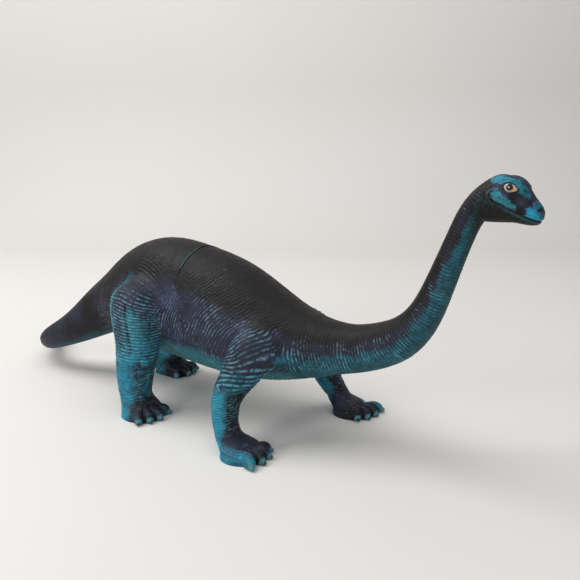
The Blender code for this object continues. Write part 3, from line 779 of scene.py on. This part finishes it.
def leg_moulding(leg):
    """One leg with its share of the blended skin round the joint."""
    points = leg.form[0]
    low, high = points.min(axis=0) - LEG_MARGIN, points.max(axis=0) + LEG_MARGIN
    high[0] += CLAW_ROOM
    low[2] = -GROUND_MARGIN
    block = Block(low, high, LEG_GRID)
    torso, own = block.distance(torso_form), block.distance(leg.form)
    toes = np.full(own.shape, REACH, np.float32)
    claws = []
    for outward, far, half in leg.toes:
        turned = Matrix.Rotation(radians(leg.side * outward), 3, "Z")
        middle = leg.foot + turned @ Vector((far, 0, .0026))
        toe = block.egg(middle, turned, (half, TOE_WIDTH / 2, TOE_HEIGHT / 2))
        claw = leg.foot + turned @ Vector((far + half - .0012, 0, .0020))
        tip = block.egg(claw + turned @ Vector((.0009, 0, -.0005)), turned, CLAW_TIP)
        nail = blended(block.egg(claw, turned, CLAW_ROOT), tip, .0006)
        toes = np.minimum(toes, np.minimum(toe, nail))
        claws.append(claw)
    whole = blended(blended(torso, own, LEG_HOLLOW), toes, TOE_HOLLOW)
    plane, from_axis = leg.share(block)
    turning = np.minimum(from_axis, np.minimum(own - SKIN_OVER_LEG, toes - .001))
    cuts = [SEAM_GAP - plane, turning + SEAM_GAP, -block.places[2] + own * 0]

    def dress(points, normals):
        on_leg = block.sample(torso, points / TO_MM) - block.sample(own, points / TO_MM)
        on_leg = rising(on_leg, -.002, .004)
        rise, rub_and_highlight, paint = hide(points, on_leg)
        high = points[:, 2]
        # The legs' inner sides are painted darker below the hips, as painted shade
        inner_shade = rising(-leg.side * normals[:, 1], 0.1, 0.7) * falling(high, 50, 60)
        toe_skin = falling(block.sample(toes, points / TO_MM), 0, .0006)
        out_x, out_y = (points[:, :2] - np.array(leg.foot)[:2] * TO_MM).T
        furrows = np.zeros(len(points))
        for (first, *_), (second, *_) in zip(leg.toes, leg.toes[1:]):
            turn = radians(leg.side * (first + second) / 2)
            along = out_x * cos(turn) + out_y * sin(turn)
            across = out_y * cos(turn) - out_x * sin(turn)
            furrows += ridge(across, .75) * rising(along, 3, 8) * falling(high, 5, 9)
        # The outer toe of a front foot is left blue, with fine rings across it
        outer, far_out = leg.side * np.degrees(np.arctan2(out_y, out_x)), np.hypot(out_x, out_y)
        cyan_toe = rising(outer, 16, 24) * (points[:, 0] > BETWEEN_LEGS) * falling(high, 5.5, 9)
        cyan_toe *= rising(far_out, 4, 8)
        across_toe = crests(far_out + 0.4 * grain(points, 3, 4), 1.4) * cyan_toe
        paint[:, 0] = paint[:, 0] + 0.25 * inner_shade * on_leg - (0.35 + 0.2 * across_toe) * cyan_toe
        paint[:, 0] += 0.6 * furrows - 0.06 * toe_skin
        rub_and_highlight = np.maximum(rub_and_highlight, 0.4 * across_toe)
        rise -= 0.8 * furrows
        rub_and_highlight *= 1 - np.clip(furrows, 0, 1)
        # The face on the seam and the sole stay flat
        at_seam = block.sample(plane, points / TO_MM) < .0006
        hidden = rising(-(normals @ np.array(leg.out)), .85, .95) * at_seam
        rise *= 1 - np.maximum(hidden, falling(high, 0.3, 1.5))
        rise *= 1 - 0.4 * toe_skin
        for claw in claws:
            spot = falling(np.linalg.norm(points - np.array(claw) * TO_MM, axis=1), *CLAW_RADIUS)
            paint[:, 0] = mixed(paint[:, 0], 0.3, spot)
            paint[:, 2] *= 1 - spot
            rise *= 1 - spot
            rub_and_highlight = mixed(rub_and_highlight, 0.75, spot)
        return rise, rub_and_highlight, np.clip(paint, 0, 1)

    moulding(leg.name, block, whole, cuts, blue_vinyl, leg.name, dress)


body_moulding("rear_body", -REAR_LENGTH, 0, [hind_right, hind_left])
leg_moulding(hind_right)
leg_moulding(hind_left)

# Forequarters: the front body and the two front legs
# Three more mouldings of the same vinyl. The front body slides into the rear one on a glued spigot,
# and its edge lies a little lower than the rear body's lip.

FRONT_FOOT = [(1, -.32, .46, .60), (.74, -.27, .48, .68), (.52, -.04, .72, .92), (.12, .07, .78, 1.02)]
front_right = Leg(
    "front_leg_right", (.053, -.022, .047), -1, SHOULDER_THICKNESS, (.056055, -.038316),
    [(.23, -.090, .45, .400, .380), (.40, -.165, .78, .335, .320), (.55, -.175, .92, .310, .290),
     (.72, -.150, .97, .262, .262)], FRONT_FOOT, FRONT_TOES)
front_left = Leg(
    "front_leg_left", (.053, .022, .047), 1, SHOULDER_THICKNESS, (.0718, .036084),
    [(.23, .010, .40, .390, .370), (.43, .060, .60, .350, .330), (.60, .130, .75, .300, .290),
     (.75, .200, .90, .262, .262)], FRONT_FOOT, FRONT_TOES)
body_moulding("front_body", 0, FRONT_LENGTH, [front_right, front_left])
leg_moulding(front_right)
leg_moulding(front_left)

# Neck and head
# One moulding of blue vinyl, closed at the snout. Fine rings run round the neck, and the mouth,
# nostrils and eyelids are moulded in.

HEAD_LENGTH = 0.0268
HEAD_WIDTH = 0.0148
HEAD_DEPTH = 0.018
NAPE_PITCH = radians(25)
HEAD_PITCH = radians(-13)
HEAD_SHARES = [
    (.130, .670, -.345, .460), (.260, .770, -.310, .495), (.430, .765, -.245, .500),
    (.580, .725, -.175, .475), (.685, .600, -.155, .390), (.785, .455, -.145, .330),
    (.900, .335, -.110, .300), (.975, .235, -.045, .200),
]
tangent = Vector((cos(NAPE_PITCH), 0, sin(NAPE_PITCH)))
ahead = Vector((cos(HEAD_PITCH), 0, sin(HEAD_PITCH)))
over = Vector((-sin(HEAD_PITCH), 0, cos(HEAD_PITCH)))
head_rows = [ring(nape, tangent, LEFT, .430 * HEAD_WIDTH, .300 * HEAD_DEPTH, .455 * HEAD_DEPTH)]
for along, top, bottom, half_width in HEAD_SHARES:
    middle = nape + ahead * along * HEAD_LENGTH + over * (top + bottom) / 2 * HEAD_DEPTH
    head_rows.append(
        ring(middle, ahead, LEFT, half_width * HEAD_WIDTH, (top - bottom) / 2 * HEAD_DEPTH))

# Places on the head are in millimetres ahead of and above the nape, along the head
EYE = (12.55, 9.7)
EYE_HALF = (2.8, 1.9)
MOUTH = [(7.2, 3.9), (8.7, 3.3), (12.2, 2.9), (16.4, 1.8), (20.3, .9), (24.7, .35), (29, .2)]


def polyline_distance(u, v, line):
    """Distance to a line of points in the head's side view."""
    best = np.full(len(u), 1e9)
    for (a, b), (c, d) in zip(line, line[1:]):
        t = np.clip(((u - a) * (c - a) + (v - b) * (d - b)) / ((c - a) ** 2 + (d - b) ** 2), 0, 1)
        best = np.minimum(best, np.hypot(u - a - t * (c - a), v - b - t * (d - b)))
    return best


NECK_GRID = 0.00033
NECK_LOW = (FRONT_LENGTH - .001, -.0145, .030)
NECK_HIGH = (.1775, .0145, .1375)
block = Block(NECK_LOW, NECK_HIGH, NECK_GRID)
head_form = form(torso_rows[-1:] + neck_rows + head_rows)
whole = block.distance(head_form)
seam_plane = FRONT_LENGTH + SEAM_GAP - block.places[0] + whole * 0
x, y, z = block.places
u = (x - nape.x) * ahead.x + (z - nape.z) * ahead.z
v = (x - nape.x) * over.x + (z - nape.z) * over.z
# The brow over each eye, and then the eye's hollow
for place, high, out, size in ((.0115, .0121, .0042, .0017), (.0148, .0108, .0038, .0009)):
    brow = np.sqrt(((u - place) / 2) ** 2 + (np.abs(y) - out) ** 2 + (v - high) ** 2) - size
    whole = blended(whole, brow, .002)
narrowed = .0021 * (1 - .4 * np.clip((u - EYE[0] / TO_MM) / .0033, 0, 1))
hollow = np.sqrt(
    ((u - EYE[0] / TO_MM) / .0031) ** 2 + ((np.abs(y) - .0072) / .0016) ** 2
    + ((v - EYE[1] / TO_MM) / narrowed) ** 2)
whole = -blended(-whole, (hollow - 1) * .0016, .0005)
whole = whole.astype(np.float32)


def dress_head(points, normals):
    """Rings on the neck; mouth, folds and paint on the head."""
    x, y, z = points.T
    local_x, local_z = x - nape.x * TO_MM, z - nape.z * TO_MM
    u = local_x * ahead.x + local_z * ahead.z
    v = local_x * over.x + local_z * over.z
    on_head = rising(u, 0, 5)
    flat = rising(np.abs(normals[:, 0]), .85, .95) * (x < FRONT_LENGTH * TO_MM + .4)
    neck_rise, neck_rub_and_highlight, neck_cover, neck_purple = neck_skin(points)
    leather = np.clip(1 - 2.2 * np.abs(grain(points, 0.8, 20)), 0, 1)
    rise = neck_rise * (1 - on_head) * (1 - flat) + 0.07 * leather * on_head
    # The mouth is a closed groove with a thin lip over it
    to_mouth = polyline_distance(u, v, MOUTH)
    groove = ridge(to_mouth, .32) * on_head
    lip = ridge(to_mouth - .75, .45) * (v > np.interp(u, *zip(*MOUTH))) * on_head
    rise += 0.16 * lip - 0.55 * groove
    rim = polyline_distance(u, v, [(8.2, 8.2), (6.0, 7.4), (4.9, 5.6), (5.6, 3.9), (7.2, 3.3)])
    rise += 0.35 * ridge(rim, .5) - 0.25 * ridge(rim - 1.0, .5) * (u > 5.2)
    # Folds under and behind the eye
    eu = (u - EYE[0]) / EYE_HALF[0]
    ev = (v - EYE[1]) / EYE_HALF[1] / (1 - .4 * np.clip(eu, 0, 1))
    around = np.hypot(eu, ev)
    lid = ridge(around - 1.12, .16)
    folds = ridge(around - 1.62, .12) + 0.7 * ridge(around - 2.1, .12)
    folds *= rising(-ev - 0.3 * eu, -0.1, 0.5) * (eu < 1.6)
    rise += (0.34 + 0.16 * (ev > 0)) * lid + 0.2 * folds
    nostril = ridge(u - 24.6, .55) * ridge(v - 4.4, .45)
    pit = ridge(u - 20.9, .6) * ridge(v - 6.2, .5)
    rise -= 0.5 * nostril + 0.3 * pit
    mottle, fine = grain(points, 3, 14), grain(points, 1.1, 15)
    # A dark mask from the nape through the eye to the bridge of the snout, between brushed patches
    ragged = 0.6 * grain(points * (0.6, 1, 1.4), 0.7, 18) + 0.6 * fine
    flecks = rising(grain(points * (0.5, 1, 1.5), 0.8, 25), .1, .6)
    mask = 0.98 + 0.06 * mottle
    brow_band = polyline_distance(u, v, [(4.6, 11.6), (9, 12.3), (13.4, 12.0), (17, 10.4), (18.6, 9.2)])
    patch = rising(-brow_band + 0.8 * ragged + 0.3 * mottle, -2.1, -1.3)
    patch *= rising(np.abs(y), 1.2, 2.4)
    # The left brow's patch is painted weaker, as painted shade on the side away from the light
    patch *= np.where(y > 0, 0.4, 1) * (1 - 0.25 * rising(u, 15, 18.5))
    cheek = polyline_distance(u, v, [(6.8, 6.3), (8.6, 5.9), (11.5, 4.8), (15.0, 3.6)])
    cheek = rising(-cheek + 1.2 * ragged + 0.3 * mottle, -2.0, -1.0)
    snout = rising(u - 0.35 * v + 2.0 * ragged + 0.5 * mottle, 18.8, 20.4) * rising(v, .2, .8)
    snout *= 1 - 0.6 * rising(u, 25.6, 27)
    under_lip = np.interp(u, *zip(*MOUTH)) - v
    jaw = rising(under_lip, 0, .5)
    mask *= 1 - np.clip(0.78 * patch + 0.80 * cheek + 0.90 * snout, 0, 1)
    mask += (0.3 * flecks + 0.12 * leather) * (patch + cheek + 0.8 * snout)
    # The snout's top and tip are painted darker as painted shade
    mask += 0.4 * snout * (rising(v - 0.5 * (26 - u), 1.0, 4.0) + rising(u, 25, 26.5))
    mask = np.maximum(mask, 0.95 * groove)
    lower_lip = ridge(under_lip - 1.0, .4)
    under_jaw = 0.74 + 0.14 * rising(under_lip, .8, 3) + 0.12 * ragged
    mask = mixed(mask, under_jaw - 0.2 * lower_lip * rising(u, 12, 18), jaw)
    mask = np.maximum(mask, 0.95 * np.maximum(lid, groove))
    dark = mixed(neck_cover, mask, on_head)
    dark = dark - 0.2 * folds * on_head + 0.7 * nostril + 0.5 * pit
    purple = mixed(neck_purple, 0.4 + 0.9 * mottle - 0.5 * falling(u, 4, 8) - jaw, on_head)
    bright = 0.25 + 0.3 * mottle + on_head * (0.15 * patch + 0.7 * snout - 0.1 * cheek - 0.5 * jaw)
    specks = rising(ragged, .05, .45)
    specks *= bump_at(np.stack([u, v], axis=1), (17.5, 3.8), (3.5, 2.2))
    rub_and_highlight = neck_rub_and_highlight * (1 - on_head) + 0.4 * ridge(rim, .5) + 0.45 * folds * on_head
    rub_and_highlight += on_head * (0.2 * lip + 0.65 * specks + 0.2 * leather + 0.2 * jaw * lower_lip * (u > 14))
    return rise, np.clip(rub_and_highlight, 0, 1.2), np.clip(np.stack([dark, purple, bright], axis=1), 0, 1)


moulding(
    "neck_and_head", block, whole, [seam_plane], blue_vinyl, "neck_and_head", dress_head)

# Eyes
# Low domes inside the lids, brushed cream with an amber front corner and a black pupil, under a
# drop of clear lacquer.

# The dome's half sizes along and up in millimetres, how far out its middle lies and how far it bulges
EYE_DOME = (2.85, 2.0)
EYE_OUT = 0.00535
EYE_BULGE = 0.0012
PUPIL = (-.1, .3)
BRUSH_STREAK = 1.111
lacquer, tree, shader = new_material("painted_eye")
spot = node(tree, "Attribute", [("attribute_name", "eye")]).outputs["Color"]
parts = node(tree, "SeparateColor", i0=spot)
place = node(tree, "TexCoord").outputs["Object"]
wobble = node(tree, "TexNoise", Vector=place, Scale=TO_MM / BRUSH_STREAK)
amber = node(tree, "Mix", COLOUR, i0=wobble, i6=linear("#a87a45"), i7=linear("#cfa672"))
colour = node(tree, "Mix", COLOUR, i0=parts.outputs[0], i6=linear("#c4b39d"), i7=amber.outputs[2])
colour = node(tree, "Mix", COLOUR, i0=parts.outputs[1], i6=colour.outputs[2], i7=linear("#0b0908"))
fill(shader, Base_Color=colour.outputs[2], Roughness=0.12, Coat_Weight=0.6, Coat_Roughness=0.05)

for side, name in ((-1, "eye_right"), (1, "eye_left")):
    bm = bmesh.new()
    bmesh.ops.create_uvsphere(bm, u_segments=48, v_segments=32, radius=1)
    places = []
    for vert in bm.verts:
        along, high, out = vert.co.x * EYE_DOME[0], vert.co.z * EYE_DOME[1], vert.co.y
        places.append((along, high))
        at = nape + ahead * (EYE[0] + along) / TO_MM + over * (EYE[1] + high) / TO_MM
        vert.co = at + LEFT * side * (EYE_OUT + EYE_BULGE * out)
    mesh = bpy.data.meshes.new(name)
    bm.to_mesh(mesh)
    bm.free()
    along, high = np.array(places).T
    corner = rising(along - 0.2 * high, .7, 1.3)
    pupil = falling(np.hypot(along - PUPIL[0], high - PUPIL[1]), 1.25, 1.4)
    paint_points(mesh, "eye", np.stack([corner, pupil, corner * 0, corner * 0 + 1], axis=1))
    mesh.transform(Matrix.Translation(SEAM_PLACE))
    mesh.shade_smooth()
    mesh.materials.append(lacquer)
    eye = stand(name, mesh)
    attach(eye, "neck_and_head")

# Tail
# One smooth moulding of dark vinyl with a row of low beads along its side; its underside shows the cast
# teal, and its end is painted lighter and bluer as a painted highlight.

TAIL_GRID = 0.0005
points, quads = form([flipped(torso_rows[0])] + tail_rows)
low, high = points.min(axis=0) - MARGIN, points.max(axis=0) + MARGIN
high[0] = -REAR_LENGTH + .001
block = Block(low, high, TAIL_GRID)
whole = block.distance((points, quads))
seam_plane = block.places[0] + REAR_LENGTH + SEAM_GAP + whole * 0


def dress_tail(points, normals):
    """Low beads and faint rings on the tail."""
    x, y, z = points.T
    flat = rising(normals[:, 0], .85, .95) * (x > -REAR_LENGTH * TO_MM - .5)
    height = crests(x + grain(points, 6, 21), 2.4) * (0.25 + 0.25 * grain(points, 8, 22))
    rise = height * 0.2 * (1 - flat)
    under = rising(-normals[:, 2], .35, .8)
    dark = 1.08 - 0.42 * under + 0.1 * grain(points, 3, 23)
    # The end is painted lighter and bluer as a painted highlight
    dark -= 0.3 * rising(-x, 150, 185)
    purple = 0.25 + 0.3 * grain(points, 9, 24)
    bright = 0.2 + 0.3 * rising(-x, 140, 185)
    middles = [(-place.x * TO_MM, place.z * TO_MM) for place in tail_path]
    along, high = -x, z - np.interp(-x, *zip(*middles))
    beads = crests(along, 2.2) * ridge(high - 2, 1.2) * rising(along, 80, 90)
    beads *= falling(along, 130, 150) * rising(np.abs(normals[:, 1]), .3, .7)
    rise = (rise + 0.35 * beads) * rising(along - REAR_LENGTH * TO_MM, *TAIL_EDGE)
    return rise, height * 0.5 + 0.4 * beads, np.clip(np.stack([dark, purple, bright], axis=1), 0, 1)


moulding("tail", block, whole, [seam_plane], dark_vinyl, "tail", dress_tail)

# Studio
# A pale paper sweep that lies flat under the toy and curves up behind it, in soft daylight from the
# left and above, as in a room beside a window.

away = Vector((-0.592, 0.806, 0))
beside_view = Vector((0.806, 0.592, 0))
SWEEP_FLAT = 0.55
SWEEP_BEND = 0.25
SWEEP_HALF_WIDTH = 2
BEND_STEPS = 16
profile = [(-1.2, 0), (SWEEP_FLAT, 0)]
for k in range(1, BEND_STEPS + 1):
    turn = k * pi / 2 / BEND_STEPS
    profile.append((SWEEP_FLAT + SWEEP_BEND * sin(turn), SWEEP_BEND - SWEEP_BEND * cos(turn)))
profile.append((SWEEP_FLAT + SWEEP_BEND, 1.6))
edges = [
    [away * far + beside_view * side + UP * high for far, high in profile]
    for side in (-SWEEP_HALF_WIDTH, SWEEP_HALF_WIDTH)
]
mesh = bpy.data.meshes.new("sweep")
count = len(profile)
mesh.from_pydata(
    edges[0] + edges[1], [],
    [(k, k + count, k + count + 1, k + 1) for k in range(count - 1)])
mesh.shade_smooth()
floor = stand("sweep", mesh)
matt, tree, shader = new_material("matt_paper")
# Millimetres across the faint clouds in the paper
PAPER_CLOUD = 333.3
place = node(tree, "TexCoord").outputs["Object"]
tone = node(tree, "TexNoise", Vector=place, Scale=TO_MM / PAPER_CLOUD)
tint = node(tree, "Mix", COLOUR, i0=tone, i6=linear("#d2cfcb"), i7=linear("#d8d5d1"))
fill(shader, Base_Color=tint.outputs[2], Roughness=0.8)
mesh.materials.append(matt)

world = bpy.data.worlds.new("room")
world.use_nodes = True
fill(world.node_tree.nodes["Background"], Color=linear("#dfe2e6"), Strength=0.42)
bpy.context.scene.world = world
# The small lamp gives the eyes and the wrinkles their glints
toy_middle = UP * 0.05
backdrop = away * 0.8 + UP * 0.4
for name, place, aim, size, power in (
        ("window", (-0.5, -0.3, 0.9), toy_middle, 0.7, 8),
        ("fill", (0.9, -0.7, 0.5), toy_middle, 0.8, 3),
        ("lamp", (-0.06, -0.60, 0.26), toy_middle, 0.10, 0.9),
        ("wall", (0.0, 0.1, 1.1), backdrop, 0.9, 4.5)):
    light = bpy.data.lights.new(name, "AREA")
    light.size = size
    light.energy = power
    lamp = stand(name, light)
    lamp.location = place
    lamp.rotation_euler = (aim - Vector(place)).to_track_quat("-Z", "Y").to_euler()

# The camera as fitted to the photograph, with its width and focal length in pixels
SENSOR_WIDTH = 36
PICTURE_WIDTH = 580
FOCAL_PIXELS = 628
TILT = radians(12.57)
camera = stand("camera", bpy.data.cameras.new("camera"))
camera.data.sensor_width = SENSOR_WIDTH
camera.data.lens = FOCAL_PIXELS / PICTURE_WIDTH * SENSOR_WIDTH
camera.data.clip_start = 0.01
camera.location = (0.2471, -0.2506, 0.1413)
look = away * cos(TILT) - UP * sin(TILT)
camera.rotation_euler = look.to_track_quat("-Z", "Y").to_euler()
bpy.context.scene.camera = camera
bpy.context.scene.view_settings.view_transform = "Standard"
